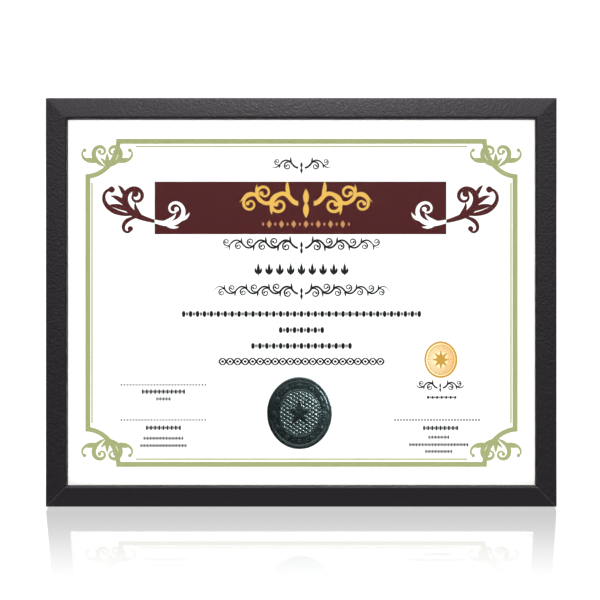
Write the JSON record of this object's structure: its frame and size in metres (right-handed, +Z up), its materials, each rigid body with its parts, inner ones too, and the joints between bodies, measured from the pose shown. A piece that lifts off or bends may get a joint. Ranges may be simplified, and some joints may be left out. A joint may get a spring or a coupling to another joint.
{
  "type": "certificate frame",
  "caption": "Landscape certificate frame: mitred domed black moulding, glass, bordered certificate with an embossed seal, board back, folding easel strut and sawtooth hanger.",
  "frame": {"origin": "under the middle of the bounding box, on the floor", "axes": "+X to the right as one faces the certificate, +Y to the rear, +Z up"},
  "size_m": [0.3816, 0.0922, 0.3008],
  "materials": {
    "black_moulding": "satin black lacquer over fine open grain",
    "nail_steel": "bare rolled steel",
    "clear_glass": "clear polished",
    "certificate_paper": "smooth white stock with a printed border",
    "green_foil": "embossed metallic foil",
    "filler_card": "uncoated grey-brown card",
    "brown_board": "smooth-faced brown fibreboard",
    "zinc_steel": "bright zinc plate",
    "rivet_brass": "brass plate",
    "tack_steel": "zinc plate",
    "black_rubber": "matt moulded"
  },
  "bodies": {
    "frame": {"rail_top": "black_moulding", "rail_bottom": "black_moulding", "rail_left": "black_moulding", "rail_right": "black_moulding", "corner_v_nails": "nail_steel", "glass": "clear_glass", "certificate": "certificate_paper", "foil_seal": "green_foil", "filler_card": "filler_card", "back_board": "brown_board", "hinge_board_leaf": "zinc_steel", "hinge_pin": "zinc_steel", "sawtooth_hanger": "zinc_steel", "turn_button_screws": "zinc_steel", "hinge_board_rivets": "rivet_brass", "hanger_tacks": "tack_steel", "wall_bumper_left": "black_rubber", "wall_bumper_right": "black_rubber"},
    "strut": {"easel_strut": "brown_board", "hinge_strut_leaf": "zinc_steel", "hinge_strut_rivets": "rivet_brass"},
    "button_bottom_left": {"turn_button_bottom_left": "zinc_steel"},
    "button_bottom_right": {"turn_button_bottom_right": "zinc_steel"},
    "button_top_left": {"turn_button_top_left": "zinc_steel"},
    "button_top_right": {"turn_button_top_right": "zinc_steel"}
  },
  "joints": [
    {"name": "strut_hinge", "type": "hinge", "parent": "frame", "child": "strut", "pos_m": [0, 0.0118, 0.20975], "axis": [1, 0, 0], "range_deg": [-21, 0]},
    {"name": "turn_bottom_left", "type": "hinge", "parent": "frame", "child": "button_bottom_left", "pos_m": [-0.105, -0.0338, 0.00578], "axis": [0, 0.9781, -0.2079], "range_deg": [-90, 90]},
    {"name": "turn_bottom_right", "type": "hinge", "parent": "frame", "child": "button_bottom_right", "pos_m": [0.105, -0.0338, 0.00578], "axis": [0, 0.9781, -0.2079], "range_deg": [-90, 90]},
    {"name": "turn_top_left", "type": "hinge", "parent": "frame", "child": "button_top_left", "pos_m": [-0.105, 0.0272, 0.29276], "axis": [0, 0.9781, -0.2079], "range_deg": [-90, 90]},
    {"name": "turn_top_right", "type": "hinge", "parent": "frame", "child": "button_top_right", "pos_m": [0.105, 0.0272, 0.29276], "axis": [0, 0.9781, -0.2079], "range_deg": [-90, 90]}
  ]
}
